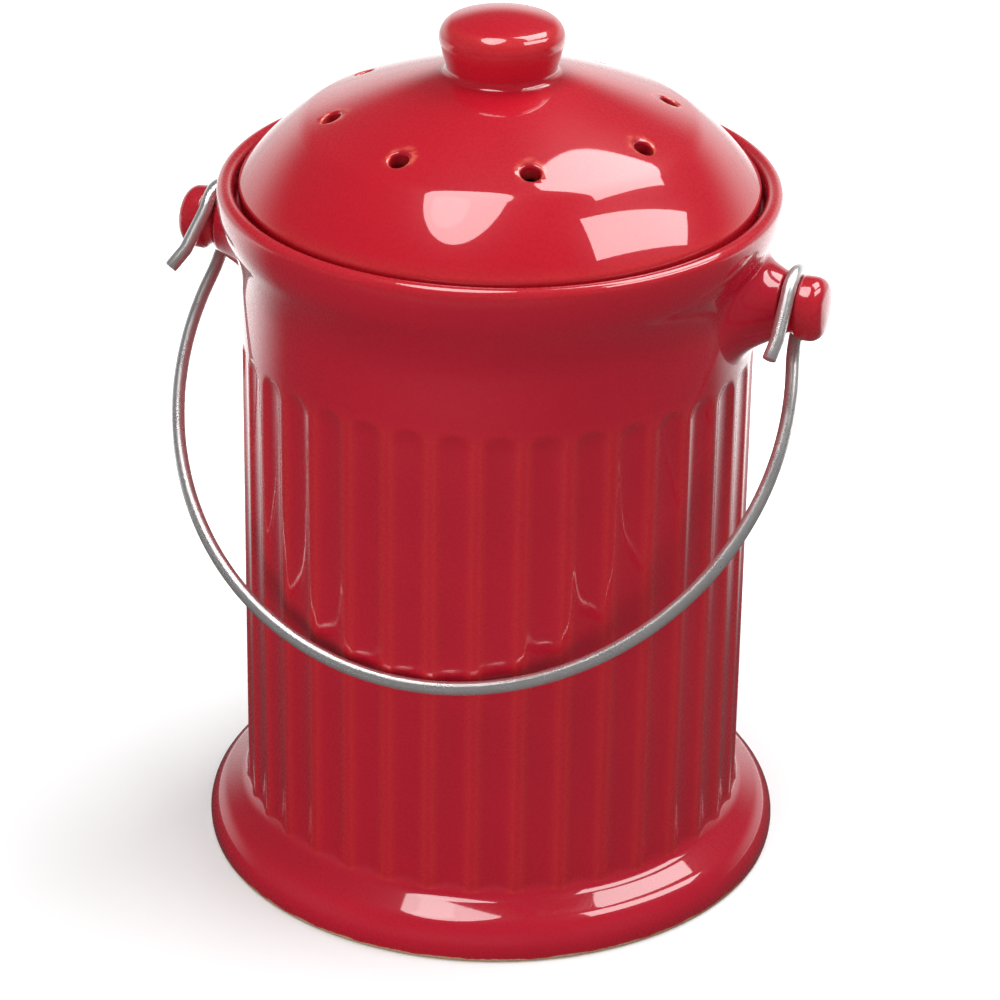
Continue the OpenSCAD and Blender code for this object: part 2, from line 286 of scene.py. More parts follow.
def makeGlaze(name, look):
    material, tree, shader = newMaterial(name)
    flow = useGroup(tree, glazeFlow, (-700, 100), **{
        "Colour": look["colour"], "Deep Colour": look["deep"], "Thin Colour": look["thin"],
        "Waviness": look["waviness"]})
    edge = addNode(tree, "ShaderNodeAttribute", (-950, 0), attribute_name="thinGlaze")
    # pooled glaze, and on the lid painted shade inside the vents
    pool = addNode(tree, "ShaderNodeAttribute", (-950, -200), attribute_name="deepGlazeAndShade")
    tree.links.new(edge.outputs["Fac"], flow.inputs["Thin"])
    tree.links.new(pool.outputs["Fac"], flow.inputs["Deep"])
    colour = flow.outputs["Colour"]
    rough = flow.outputs["Roughness"]
    height = flow.outputs["Height"]
    coat = None
    if "clayEdge" in look:
        bare = useGroup(tree, bareClay, (-700, -300), **{"Edge Height": look["clayEdge"]})
        mask = bare.outputs["Mask"]
        colour = mixColour(tree, mask, colour, bare.outputs["Colour"], (-400, 150))
        clayRough = maths(tree, "MULTIPLY", mask, glazeCoat["clayRough"], (-550, -150))
        rough = maths(tree, "MAXIMUM", rough, clayRough, (-400, -50))
        clayHeight = maths(tree, "MULTIPLY", bare.outputs["Height"], mask, (-550, -450))
        height = maths(tree, "ADD", height, clayHeight, (-400, -400))
        coat = maths(tree, "MULTIPLY_ADD", mask, -1.0, (-400, -220))
        coat.node.inputs[2].default_value = 1.0
    tree.links.new(colour, shader.inputs["Base Color"])
    tree.links.new(rough, shader.inputs["Roughness"])
    addBump(tree, shader, height, look["bump"], glazeCoat["bumpDepth"], (-200, -300))
    if coat:
        tree.links.new(coat, shader.inputs["Coat Weight"])
    else:
        shader.inputs["Coat Weight"].default_value = 1.0
    shader.inputs["Coat Roughness"].default_value = look["gloss"]
    shader.inputs["Coat IOR"].default_value = glazeCoat["ior"]
    shader.inputs["Specular IOR Level"].default_value = glazeCoat["under"]
    return material


# ---- crock: foot, fluted wall, lip, gallery and hollow ----

crockMake = {
    "bodyR": 81.5, "wall": 6.0, "height": 229.8, "floorTop": 12.0, "floorRound": 10.0,
    "footR": 94.36, "footBead": 11.0, "footMid": 4.0, "footSlope": 28.0, "footFillet": 8.0,
    "footSink": 0.15, "footRing": 15.0, "footHollow": 3.0,
    "fluteCount": 36, "fluteDepth": 1.4, "ridgeWidth": 2.8, "fluteTop": 179.0, "fluteEdge": 0.22,
    "fluteBlend": 0.9, "fluteEnd": 1.6,
    "lipOut": 7.1, "flareHeight": 29.0, "flareShare": 0.57,
    "ledgeWidth": 7.8, "ledgeDrop": 7.8, "ledgeRound": 1.5,
    # distances of the mesh's columns from the middle of a ridge, in mm
    "columns": [0, 0.4, 0.8, 1.15, 1.5, 1.95, 2.6, 3.5, 4.6, 5.8],
}

crockLook = {
    "colour": (0.44, 0.0085, 0.025, 1), "deep": (0.34, 0.0070, 0.021, 1), "thin": (0.62, 0.05, 0.022, 1),
    "waviness": 0.05, "bump": 0.5, "gloss": 0.035, "clayEdge": 0.0013,
    # how thin the glaze is on each place, and how deep where it pools
    "lugThin": 0.1, "lipThin": 0.12, "ridgeThin": 0.16, "ridgeSide": 5.6, "wallThin": 0.05,
    "fluteDeep": 0.2, "footDeep": 0.25, "lipDeep": 0.3,
}


def footCurve():
    # bead at the edge, a straight slope above it, and a fillet up to the flutes' floor
    c = crockMake
    turn = 90 - c["footSlope"]
    slope = math.radians(c["footSlope"])
    floorR = c["bodyR"] - c["fluteDepth"] - c["footSink"]
    beadX = c["footR"] - c["footBead"]
    slopeX = beadX + c["footBead"] * math.sin(slope)
    slopeZ = c["footMid"] + c["footBead"] * math.cos(slope)
    cornerZ = slopeZ + (slopeX - floorR) * math.tan(slope)
    filletZ = cornerZ + c["footFillet"] * math.tan(math.radians(turn / 2))
    return floorR, beadX, floorR + c["footFillet"], filletZ, turn


def footRadius(z):
    # how far out the bend of the foot stands at a height
    floorR, _, filletX, filletZ, _ = footCurve()
    if z >= filletZ:
        return floorR
    size = crockMake["footFillet"]
    return filletX - math.sqrt(size ** 2 - min(filletZ - z, size) ** 2)


def flarePoints():
    c = crockMake
    lipR = c["bodyR"] + c["lipOut"]
    lipRound = (lipR - (c["bodyR"] - c["wall"] + c["ledgeWidth"])) / 2
    flareTop = c["height"] - lipRound - 1
    slope = math.degrees(2 * math.atan(c["lipOut"] / c["flareHeight"]))
    total = c["flareHeight"] / math.sin(math.radians(slope))
    lowR = total * c["flareShare"]
    highR = total - lowR
    low = around((c["bodyR"] + lowR, flareTop - c["flareHeight"]), lowR, 180, 180 - slope, 9)
    high = around((lipR - highR, flareTop), highR, -slope, 0, 7)
    return low + high[1:], lipR, lipRound


def crockOutline():
    c = crockMake
    _, beadX, filletX, filletZ, turn = footCurve()
    beadLow = math.degrees(math.asin(c["footMid"] / c["footBead"]))
    restR = beadX + c["footBead"] * math.cos(math.radians(beadLow))
    tipTurn = 180 + math.degrees(math.acos((filletX - c["bodyR"]) / c["footFillet"]))
    tipZ = filletZ + c["footFillet"] * math.sin(math.radians(tipTurn))
    hollowR = restR - c["footRing"]
    hollow = c["footHollow"]
    points = [(0, hollow), (hollowR * 0.5, hollow), (hollowR - hollow - 0.6, hollow)]
    points += [(hollowR - hollow + 0.2, hollow - 0.4), (hollowR - 0.4, 0.35), (hollowR + 0.3, 0)]
    points += [(hollowR + 5, 0), (restR - 0.9, 0), (restR - 0.35, 0.12)]
    points += around((beadX, c["footMid"]), c["footBead"], -beadLow + 1.8, turn, 20)
    points += around((filletX, filletZ), c["footFillet"], turn + 180, tipTurn, 6)
    wallZ = [tipZ + 0.35 * i for i in range(1, 17)] + [26.5, 29, 45, 80, 120, 150, 165, 171, 173.2]
    wallZ += [173.2 + 0.45 * i for i in range(1, 17)]
    wallZ += [181.2, 183, 187, 192]
    points += [(c["bodyR"], z) for z in wallZ]
    flare, lipR, lipRound = flarePoints()
    points += flare
    lipZ = c["height"] - lipRound
    points += around((lipR - lipRound, lipZ), lipRound, 0, 180, 12)
    throatR = c["bodyR"] - c["wall"]
    galleryR = throatR + c["ledgeWidth"]
    ledgeZ = c["height"] - c["ledgeDrop"]
    points += around((galleryR - 1.2, ledgeZ + 1.2), 1.2, 0, -90, 4)
    points += around((throatR + c["ledgeRound"], ledgeZ - c["ledgeRound"]), c["ledgeRound"], 90, 180, 4)
    points += [(throatR, 120)]
    points += around((throatR - c["floorRound"], c["floorTop"] + c["floorRound"]), c["floorRound"], 0, -90, 7)
    points += [(30, c["floorTop"]), (0, c["floorTop"])]
    return points


def fluteDrop(place):
    # how far the wall lies behind its ridges at a place, in mm
    c = crockMake
    pitch = 2 * math.pi / c["fluteCount"]
    half = (pitch * c["bodyR"] - c["ridgeWidth"]) / 2
    across = offMiddle(place, c["fluteCount"]) * c["bodyR"]
    up = max(0, place.z - (c["fluteTop"] - half))
    reach = math.hypot(across, up) / half
    dish = c["fluteDepth"] * (1 - reach * reach)
    dish = (dish + math.sqrt(dish * dish + c["fluteEdge"] ** 2)) / 2
    if reach > c["fluteEnd"]:
        dish = 0
    floorR = smoothMax(footRadius(place.z), c["bodyR"] - dish, c["fluteBlend"])
    return c["bodyR"] - floorR


def makeCrock():
    c = crockMake
    half = math.pi * c["bodyR"] / c["fluteCount"]
    steps = [b - a for a, b in zip(c["columns"], c["columns"][1:] + [half])]
    steps += steps[::-1]
    pitch = 360 / c["fluteCount"]
    crock = drawOutline("crock", crockOutline(), azimuth=pitch / 2)
    for width in steps:  # one flute, column by column
        bpy.ops.mesh.spin(steps=1, angle=width / c["bodyR"], center=(0, 0, 0), axis=(0, 0, 1))
    bpy.ops.mesh.select_all(action="SELECT")
    count = c["fluteCount"]
    bpy.ops.mesh.spin(steps=count - 1, angle=math.radians(pitch) * (count - 1), dupli=True,
                      center=(0, 0, 0), axis=(0, 0, 1))
    bpy.ops.object.mode_set(mode="OBJECT")
    closeMesh(crock)
    wallR = c["bodyR"] * mm
    for v in crock.data.vertices:  # flutes pressed straight in, down to the foot's bend
        radius = math.hypot(v.co.x, v.co.y)
        if abs(radius - wallR) < 0.00005 and 0.018 < v.co.z < 0.182:
            shrink = 1 - fluteDrop(v.co / mm) * mm / radius
            v.co.x *= shrink
            v.co.y *= shrink
    return crock


crock = makeCrock()
print("crock spun and fluted:", len(crock.data.polygons), "faces")

# ---- lugs: horn, groove and head, drawn along X and spun about their own axis ----

lugMake = {
    "axisZ": 201.7, "grooveX": 96.6, "grooveR": 2.6, "neckR": 8.4, "headR": 10.2, "tipX": 107.76,
    "headRound": 4.6, "headDome": 34.0, "hornSweep": 45.0, "hornR": 21.0, "hornFoot": 78.5,
    "collar": 2.2, "blend": 4.5, "tuck": 0.12, "fadeWidth": 8.0,
    "rootRings": [10.3, 10.8, 11.4, 12.1, 12.9, 13.8, 14.8, 15.9, 17, 18, 19, 20, 21, 22, 23, 24],
}


def wallRadius(z):
    # outer surface of the plain band, the flare and the lip at a height
    flare, lipR, _ = flarePoints()
    points = [(crockMake["bodyR"], 150)] + flare
    if z <= points[0][1]:
        return points[0][0]
    for low, high in zip(points, points[1:]):
        if z <= high[1]:
            part = (z - low[1]) / max(high[1] - low[1], 1e-6)
            return low[0] + (high[0] - low[0]) * part
    return lipR


def hornX(radius):
    # hollow side of the horn: distance along X at a radius from the lug's axis
    g = lugMake
    start = Vector((g["hornR"], g["hornFoot"]))
    end = Vector((g["headR"], g["grooveX"] - g["collar"]))
    half = (end - start).length / 2
    across = Vector((start.y - end.y, end.x - start.x)) / (2 * half)
    centre = (start + end) / 2 - across * math.sqrt(g["hornSweep"] ** 2 - half ** 2)
    return centre.y - math.sqrt(g["hornSweep"] ** 2 - (radius - centre.x) ** 2)


def makeLug():
    g = lugMake
    headR = g["headR"]
    grooveX = g["grooveX"]
    grooveR = g["grooveR"]
    domeX = g["tipX"] - g["headDome"]
    roundA = math.degrees(math.acos((headR - g["headRound"]) / (g["headDome"] - g["headRound"])))
    roundX = domeX + (g["headDome"] - g["headRound"]) * math.sin(math.radians(roundA))
    # pairs are (distance along X, radius)
    points = [(g["tipX"], 0)]
    points += [(domeX + g["headDome"] * math.sin(math.radians(a)), g["headDome"] * math.cos(math.radians(a)))
               for a in (88, 86, 84)]
    for i in range(9):
        a = math.radians(roundA * (1 - i / 8))
        points.append((roundX + g["headRound"] * math.sin(a), headR - g["headRound"] * (1 - math.cos(a))))
    grooveEdge = math.sqrt(grooveR ** 2 - (g["neckR"] + grooveR - headR) ** 2)
    points += [(grooveX + grooveEdge + 0.75, headR), (grooveX + grooveEdge + 0.3, headR - 0.07)]
    points += [(grooveX + grooveEdge + 0.02, headR - 0.32)]
    for i in range(9):
        a = math.radians(-66 + 132 * i / 8)
        points.append((grooveX - grooveR * math.sin(a), g["neckR"] + grooveR * (1 - math.cos(a))))
    points += [(grooveX - grooveEdge - 0.02, headR - 0.32), (grooveX - grooveEdge - 0.3, headR - 0.07)]
    points += [(hornX(r), r) for r in g["rootRings"]]
    lug = drawOutline("lugRight", [(x, r + g["axisZ"]) for x, r in points])
    spinFull(lug, 72, centre=(0, 0, g["axisZ"] * mm), axis=(1, 0, 0))
    for v in lug.data.vertices:  # the horn's root is drawn out over the wall
        place = v.co / mm
        out = math.hypot(place.y, place.z - g["axisZ"])
        if place.x < grooveX - g["collar"] and out > headR + 0.02:
            wallX = math.sqrt(max(wallRadius(place.z) ** 2 - place.y ** 2, 1))
            horn = hornX(out)
            fade = min(1, max(0, (g["rootRings"][-1] - out) / g["fadeWidth"]))
            fade = fade * fade * (3 - 2 * fade)
            lift = (smoothMax(horn, wallX, g["blend"]) - wallX) * fade
            v.co.x = (wallX + lift - g["tuck"] * (1 - fade)) * mm
    return lug


lugRight = makeLug()
pickOnly(lugRight)
bpy.ops.object.duplicate()
lugLeft = bpy.context.object
lugLeft.name = "lugLeft"
bpy.ops.transform.resize(value=(-1, 1, 1), center_override=(0, 0, 0))
closeMesh(lugLeft)
for lug in (lugRight, lugLeft):
    pickOnly(lug)
    bpy.ops.object.mode_set(mode="EDIT")
    bpy.ops.mesh.select_all(action="SELECT")
    bpy.ops.mesh.normals_make_consistent(inside=False)
    bpy.ops.object.mode_set(mode="OBJECT")
    # an open shell: its head has to face away from the body
    tip = max(lug.data.polygons, key=lambda f: abs(f.center.x))
    if tip.normal.x * tip.center.x < 0:
        lug.data.flip_normals()
print("lugs drawn out of the wall")


def crockThin(place):
    # thin glaze on the lugs' heads, the lip, the flutes' sides and the ridges
    c = crockMake
    look = crockLook
    radius = math.hypot(place.x, place.y)
    if radius > 92.5 and abs(place.x) > 92 and place.z > 150:
        return look["lugThin"]
    if place.z > 224 and radius > 83:
        return look["lipThin"] * min(1, (place.z - 224) / 4)
    if 18 < place.z < 181 and radius > 79:
        drop = (c["bodyR"] - radius) / c["fluteDepth"]
        across = abs(offMiddle(place, c["fluteCount"])) * c["bodyR"]
        fade = max(0, min(1, (c["fluteTop"] - place.z) / 3))
        side = look["ridgeThin"] * hump(across, look["ridgeSide"], 1.1) * fade
        return side + look["wallThin"] * max(0, 1 - abs(drop))
    return 0.0


def crockDeep(place):
    # glaze pools in the flutes' floors, under the lip and in the bend of the foot
    c = crockMake
    radius = math.hypot(place.x, place.y)
    pool = 0.0
    if 18 < place.z < 181 and 79 < radius < c["bodyR"]:
        pool += crockLook["fluteDeep"] * (c["bodyR"] - radius) / c["fluteDepth"]
    pool += crockLook["footDeep"] * hump(place.z, 20, 3)
    pool += crockLook["lipDeep"] * hump(place.z, 205, 7) * (radius > 79)
    return pool


crockGlaze = makeGlaze("crock glaze", crockLook)
for piece in (crock, lugRight, lugLeft):
    pointMask(piece, "thinGlaze", crockThin)
    pointMask(piece, "deepGlazeAndShade", crockDeep)
    dress(piece, crockGlaze)
    bpy.ops.object.shade_smooth()
pickOnly(crock)
lugRight.select_set(True)
lugLeft.select_set(True)
bpy.ops.object.join()

# ---- lid: knob, vented crown, edge, skirt and filter seat ----

lidMake = {
    "edgeR": 81.8, "ledgeZ": 222.0, "edgeHeight": 6.8, "edgeRound": 3.0, "flankLength": 21.6, "flankR": 90.0,
    "shoulderR": 18.0, "crownSlope": 23.5, "crownR": 400.0, "wall": 6.0,
    "skirtR": 74.7, "boreR": 69.2, "skirtZ": 212.0, "seatZ": 222.5, "seatWidth": 3.0,
    "neckR": 16.7, "knobR": 19.7, "knobFlare": 17.0, "knobRound": 6.0, "knobFillet": 2.4,
    "ventCount": 8, "ventR": 3.1, "ventCircleR": 52.2, "ventTurn": -16.0, "ventRim": 1.0, "steps": 216,
}

lidLook = {
    "colour": (0.47, 0.0075, 0.0200, 1), "deep": (0.38, 0.0065, 0.018, 1), "thin": (0.75, 0.16, 0.10, 1),
    "waviness": 0.04, "bump": 0.45, "gloss": 0.03,
    # ventShade is painted shade: the vents' insides are coloured darker
    "rimThin": 0.8, "edgeThin": 0.08, "knobThin": 0.1, "rootDeep": 0.6, "ventShade": 0.8,
}


def lidCurve():
    # the crown's centre and the corner places of the outer skin
    d = lidMake
    n45 = Vector((math.cos(math.pi / 4), math.sin(math.pi / 4)))
    edge = Vector((d["edgeR"], d["ledgeZ"] + d["edgeHeight"]))
    flank = edge - Vector((d["edgeRound"], 0)) + n45 * d["edgeRound"]
    shoulder = flank + Vector((-n45.x, n45.y)) * d["flankLength"]
    bendC = shoulder - n45 * d["shoulderR"]
    up = math.radians(90 - d["crownSlope"])
    crownC = bendC + Vector((math.cos(up), math.sin(up))) * (d["shoulderR"] - d["crownR"])
    return edge, flank, bendC, crownC


def flankArc():
    # the flank bulges a little: an arc that touches the shoulder's round and the edge's
    d = lidMake
    edge, _, bendC, _ = lidCurve()
    base = edge - Vector((d["edgeRound"], 0)) - bendC
    high = d["flankR"] - d["shoulderR"]
    low = d["flankR"] - d["edgeRound"]
    along = (high * high - low * low + base.length_squared) / (2 * base.length)
    unit = base.normalized()
    centre = bendC + unit * along + Vector((unit.y, -unit.x)) * math.sqrt(high * high - along * along)
    toBend = bendC - centre
    toEdge = bendC + base - centre
    return centre, math.degrees(math.atan2(toBend.y, toBend.x)), math.degrees(math.atan2(toEdge.y, toEdge.x))


def crownAngle(radius, depth=0.0):
    crownC = lidCurve()[3]
    return math.degrees(math.acos((radius - crownC.x) / (lidMake["crownR"] - depth)))


def crownPoint(radius, depth=0.0):
    crownC = lidCurve()[3]
    a = math.radians(crownAngle(radius, depth))
    size = lidMake["crownR"] - depth
    return crownC.x + size * math.cos(a), crownC.y + size * math.sin(a)


def knobOutline():
    # from the axis at the top down to the crown
    d = lidMake
    crownEnd = crownAngle(d["neckR"] + d["knobFillet"])
    root = Vector(crownPoint(d["neckR"]))
    a = math.radians(crownEnd)
    b = math.radians(-d["knobFlare"])
    n1 = Vector((math.cos(a), math.sin(a)))
    n2 = Vector((math.cos(b), math.sin(b)))
    filletC = root + (n1 + n2) * (d["knobFillet"] / (1 + n1.dot(n2)))
    wide = d["knobR"] - d["knobRound"]
    side = (wide + d["knobRound"] * math.cos(b) - d["neckR"]) / math.tan(-b)
    roundC = root + Vector((wide - d["neckR"], side + d["knobRound"] * math.sin(-b)))
    topA = math.radians(70)
    topP = roundC + Vector((math.cos(topA), math.sin(topA))) * d["knobRound"]
    topR = topP.x / math.cos(topA)
    points = around((0, topP.y - topR * math.sin(topA)), topR, 90, 70, 7)
    points += around(roundC, d["knobRound"], 70, -d["knobFlare"], 16)[1:]
    low = around(filletC, d["knobFillet"], 180 - d["knobFlare"], 180 + crownEnd, 8)
    last = Vector(points[-1])
    gap = Vector(low[0]) - last
    points += [tuple(last + gap * (i / 4)) for i in range(1, 4)]
    return points + low, crownEnd


def lidOutline():
    d = lidMake
    edge, flank, bendC, crownC = lidCurve()
    points, crownEnd = knobOutline()
    crownStart = 90 - d["crownSlope"]
    points += around(crownC, d["crownR"], crownEnd, crownStart, 30)[1:]
    flankC, flankHigh, flankLow = flankArc()
    points += around(bendC, d["shoulderR"], crownStart, flankHigh, 8)[1:]
    points += around(flankC, d["flankR"], flankHigh, flankLow, 14)[1:]
    points += around((d["edgeR"] - d["edgeRound"], edge.y), d["edgeRound"], flankLow, 0, 6)[1:]
    points += around((d["edgeR"] - 1.5, d["ledgeZ"] + 1.5), 1.5, 0, -90, 5)
    points += around((d["skirtR"] + 0.6, d["ledgeZ"] - 0.6), 0.6, 90, 180, 3)
    points += around((d["skirtR"] - 1.8, d["skirtZ"] + 1.8), 1.8, 0, -90, 5)
    points += around((d["boreR"] + 1.8, d["skirtZ"] + 1.8), 1.8, 270, 180, 5)
    inner = d["boreR"] - d["seatWidth"]
    innerFlank = flank - Vector((1, 1)) * (d["wall"] / math.sqrt(2))
    innerZ = innerFlank.y + (innerFlank.x - inner)
    points += [(d["boreR"], d["seatZ"] - 0.3), (d["boreR"] - 0.3, d["seatZ"]), (inner + 0.5, d["seatZ"])]
    points += [(inner, d["seatZ"] + 0.5), (inner, innerZ - 0.5), (inner - 0.4, innerZ + 0.4)]
    points += around(bendC, d["shoulderR"] - d["wall"], 45, crownStart, 6)
    points += around(crownC, d["crownR"] - d["wall"], crownStart, crownAngle(9, d["wall"]), 22)[1:]
    points.append((0, points[-1][1]))
    return points


def makeVentCutter():
    # a bar with flared ends, which leaves round rims
    d = lidMake
    rim = d["ventRim"]
    hole = d["ventR"]
    half = d["wall"] / 2
    rims = around((hole + rim, half - rim), rim, 102, 180, 7)
    low = [(x, -z) for x, z in reversed(rims)]
    wide = rims[0][0]
    end = half + 2.5
    points = [(0, end), (wide, end)] + rims + low + [(wide, -end), (0, -end)]
    cutter = drawOutline("ventCutter", points)
    spinFull(cutter, 40)
    angle = crownAngle(d["ventCircleR"])
    x, z = crownPoint(d["ventCircleR"], half)
    lean = Matrix.Rotation(math.radians(90 - angle), 4, "Y")
    cutter.matrix_world = Matrix.Translation((x * mm, 0, z * mm)) @ lean
    pickOnly(cutter)
    bpy.ops.object.transform_apply(location=True, rotation=True, scale=True)
    cutter.matrix_world = Matrix.Rotation(math.radians(d["ventTurn"]), 4, "Z")
    bpy.ops.object.transform_apply(location=True, rotation=True, scale=True)
    bpy.ops.object.mode_set(mode="EDIT")
    bpy.ops.mesh.select_all(action="SELECT")
    count = d["ventCount"]
    bpy.ops.mesh.spin(steps=count - 1, angle=2 * math.pi * (count - 1) / count, dupli=True,
                      center=(0, 0, 0), axis=(0, 0, 1))
    bpy.ops.object.mode_set(mode="OBJECT")
    closeMesh(cutter)
    return cutter


def ventDistance(place):
    d = lidMake
    off = offMiddle(place, d["ventCount"], math.radians(d["ventTurn"]))
    radius = math.hypot(place.x, place.y)
    return math.hypot(radius * math.cos(off) - d["ventCircleR"], radius * math.sin(off))


def lidThin(place):
    # thin glaze round the vents, on the edge and on the knob's shoulder
    radius = math.hypot(place.x, place.y)
    rim = ventDistance(place)
    thin = lidLook["rimThin"] * hump(rim, 4.0, 0.4) if place.z > 240 and rim > 2.5 else 0.0
    if place.z > 226 and radius > 78:
        thin += lidLook["edgeThin"] * hump(place.z, 230.5, 1.6)
    if place.z > 274:
        thin += lidLook["knobThin"] * hump(radius, 18, 1.8)
    return thin


def lidPoolAndShade(place):
    # glaze pools round the knob's root; inside the vents the colour is darkened as painted shade
    radius = math.hypot(place.x, place.y)
    pool = lidLook["rootDeep"] * hump(radius, 18.5, 1.6) if place.z < 268 else 0.0
    # painted shade: the vents' insides get the deep colour, where little light falls
    if place.z > 236 and ventDistance(place) < 3.2 and radius > 40:
        pool += lidLook["ventShade"]
    return pool


lid = drawOutline("lid", lidOutline())
spinFull(lid, lidMake["steps"])
ventCutter = makeVentCutter()
applyModifier(lid, "BOOLEAN", "cut vents", object=ventCutter, operation="DIFFERENCE", solver="EXACT")
bpy.data.objects.remove(ventCutter)
pointMask(lid, "thinGlaze", lidThin)
pointMask(lid, "deepGlazeAndShade", lidPoolAndShade)
dress(lid, makeGlaze("lid glaze", lidLook))
bpy.ops.object.shade_smooth_by_angle(angle=math.radians(50))
print("lid spun, vents cut:", len(lid.data.polygons), "faces")

# ---- bail: one wire from tail to tail, hooked over both lugs ----

bailMake = {
    "wireR": 2.2, "sides": 28, "hookR": 11.0, "hookX": 96.6, "axisZ": 201.7,
    "bow": 3.4, "reverseR": 60.0, "arm": 4.2, "tail": 22.0, "tailBend": 12.0, "tailSplay": 12.0,
    "tip": 7.0, "tipBend": 5.0, "tipRight": 9.0, "tipLeft": 15.0, "restTurn": 42.3, "endRound": 0.45,
}


def makeBail():
    b = bailMake
    reach = b["hookX"] + b["bow"] + b["reverseR"]
    blend = math.acos((b["hookX"] + b["reverseR"]) / reach)
    loopZ = b["arm"] + reach * math.sin(blend)
    axisZ = b["axisZ"]

    def straight(way, length, cuts=1):
        step = Vector(way) * (length * mm / cuts)
        for i in range(cuts):
            bpy.ops.mesh.extrude_region_move(TRANSFORM_OT_translate={"value": step})

    def bendWire(centre, axis, angle, steps):
        place = [value * mm for value in centre]
        bpy.ops.mesh.spin(steps=steps, angle=-angle, center=place, axis=axis)  # spin turns clockwise

    # the bail is drawn hanging straight down: tails before the lugs, arms behind
    # the right tail's tip is bent in, the left tail is splayed and its tip bent out
    elbow = math.radians(b["tipRight"])
    elbowZ = axisZ - b["tail"] + b["tip"] + b["tipBend"] * math.sin(elbow)
    tipWay = Vector((math.sin(elbow), 0, math.cos(elbow)))
    tipEnd = Vector((b["hookX"] - b["tipBend"] * (1 - math.cos(elbow)), -b["hookR"],
                     elbowZ - b["tipBend"] * math.sin(elbow))) - tipWay * b["tip"]
    clearSelection()
    bpy.ops.mesh.primitive_circle_add(vertices=b["sides"], radius=b["wireR"] * mm, fill_type="NGON",
                                      location=tipEnd * mm, rotation=(0, elbow, 0))
    bail = bpy.context.object
    bail.name = "bail"
    bail.data.name = "bail"
    bpy.ops.object.mode_set(mode="EDIT")
    bpy.ops.mesh.select_all(action="SELECT")
    straight(tipWay, b["tip"], 2)
    bendWire((b["hookX"] - b["tipBend"], -b["hookR"], elbowZ), (0, 1, 0), -elbow, 4)
    straight((0, 0, 1), axisZ - elbowZ, 4)
    bendWire((b["hookX"], 0, axisZ), (1, 0, 0), -math.pi, 36)
    straight((0, 0, -1), b["arm"])
    bendWire((b["hookX"] + b["reverseR"], b["hookR"], axisZ - b["arm"]), (0, 1, 0), -blend, 8)
    bendWire((0, b["hookR"], axisZ - loopZ), (0, 1, 0), math.pi + 2 * blend, 120)
    bendWire((-b["hookX"] - b["reverseR"], b["hookR"], axisZ - b["arm"]), (0, 1, 0), -blend, 8)
    straight((0, 0, 1), b["arm"])
    bendWire((-b["hookX"], 0, axisZ), (1, 0, 0), math.pi, 36)
    splay = math.radians(b["tailSplay"])
    bendWire((-b["hookX"] - b["tailBend"], -b["hookR"], axisZ), (0, 1, 0), splay, 4)
    flare = splay + math.radians(b["tipLeft"])
    upper = b["tail"] - b["tip"] - b["tailBend"] * math.sin(splay)
    straight((-math.sin(splay), 0, -math.cos(splay)), upper, 4)
    elbowX = b["hookX"] + b["tailBend"] * (1 - math.cos(splay)) + upper * math.sin(splay)
    elbowZ = axisZ - b["tailBend"] * math.sin(splay) - upper * math.cos(splay)
    bendWire((-elbowX - b["tipBend"] * math.cos(splay), -b["hookR"], elbowZ + b["tipBend"] * math.sin(splay)),
             (0, 1, 0), flare - splay, 4)
    straight((-math.sin(flare), 0, -math.cos(flare)), b["tip"], 2)
    bpy.ops.mesh.select_all(action="DESELECT")
    bpy.ops.object.mode_set(mode="OBJECT")
    closeMesh(bail)
    for face in bail.data.polygons:  # the cut ends are dulled
        face.select = len(face.vertices) == b["sides"]
    bpy.ops.object.mode_set(mode="EDIT")
    bpy.ops.mesh.select_mode(type="FACE")
    bpy.ops.mesh.bevel(offset=b["endRound"] * mm, segments=3, affect="EDGES")
    bpy.ops.object.mode_set(mode="OBJECT")
    return bail


bail = makeBail()
print("bail drawn:", [round(v, 4) for v in bail.dimensions])
bail.matrix_world = (Matrix.Translation((0, 0, bailMake["axisZ"] * mm))
                     @ Matrix.Rotation(math.radians(-bailMake["restTurn"]), 4, "X")
                     @ Matrix.Translation((0, 0, -bailMake["axisZ"] * mm)))
pickOnly(bail)
bpy.ops.object.transform_apply(location=True, rotation=True, scale=True)

wireLook = {
    "steel": (0.87, 0.87, 0.86, 1), "dull": (0.72, 0.715, 0.70, 1), "low": 0.22, "high": 0.36,
    "metal": 0.86, "bump": 0.25, "scratchDepth": 0.00006,
}


def makeSteel(look):
    material, tree, shader = newMaterial("satin steel")
    coords = addNode(tree, "ShaderNodeTexCoord", (-1200, 0)).outputs["Object"]
    tarnish = noise(tree, coords, 90, 4, (-1000, 200), 0.6)
    scratch = noise(tree, coords, 1400, 3, (-1000, -100), 0.7)
    stain = ramp(tree, tarnish, 0.4, 0.75, (-800, 200))
    colour = mixColour(tree, stain, look["steel"], look["dull"], (-500, 200))
    tree.links.new(colour, shader.inputs["Base Color"])
    rough = ramp(tree, tarnish, 0.3, 0.7, (-500, 0), look["low"], look["high"])
    tree.links.new(rough, shader.inputs["Roughness"])
    addBump(tree, shader, scratch, look["bump"], look["scratchDepth"], (-300, -250))
    shader.inputs["Metallic"].default_value = look["metal"]
    return material


dress(bail, makeSteel(wireLook))
bpy.ops.object.shade_smooth_by_angle(angle=math.radians(40))

# ---- filter: a disc of carbon felt in the lid's skirt ----

filterMake = {
    "radius": 68.9, "low": 213.5, "high": 222.4, "edge": 1.2, "rings": 9,
    "unevenness": 0.25, "feltScale": 0.006,
}


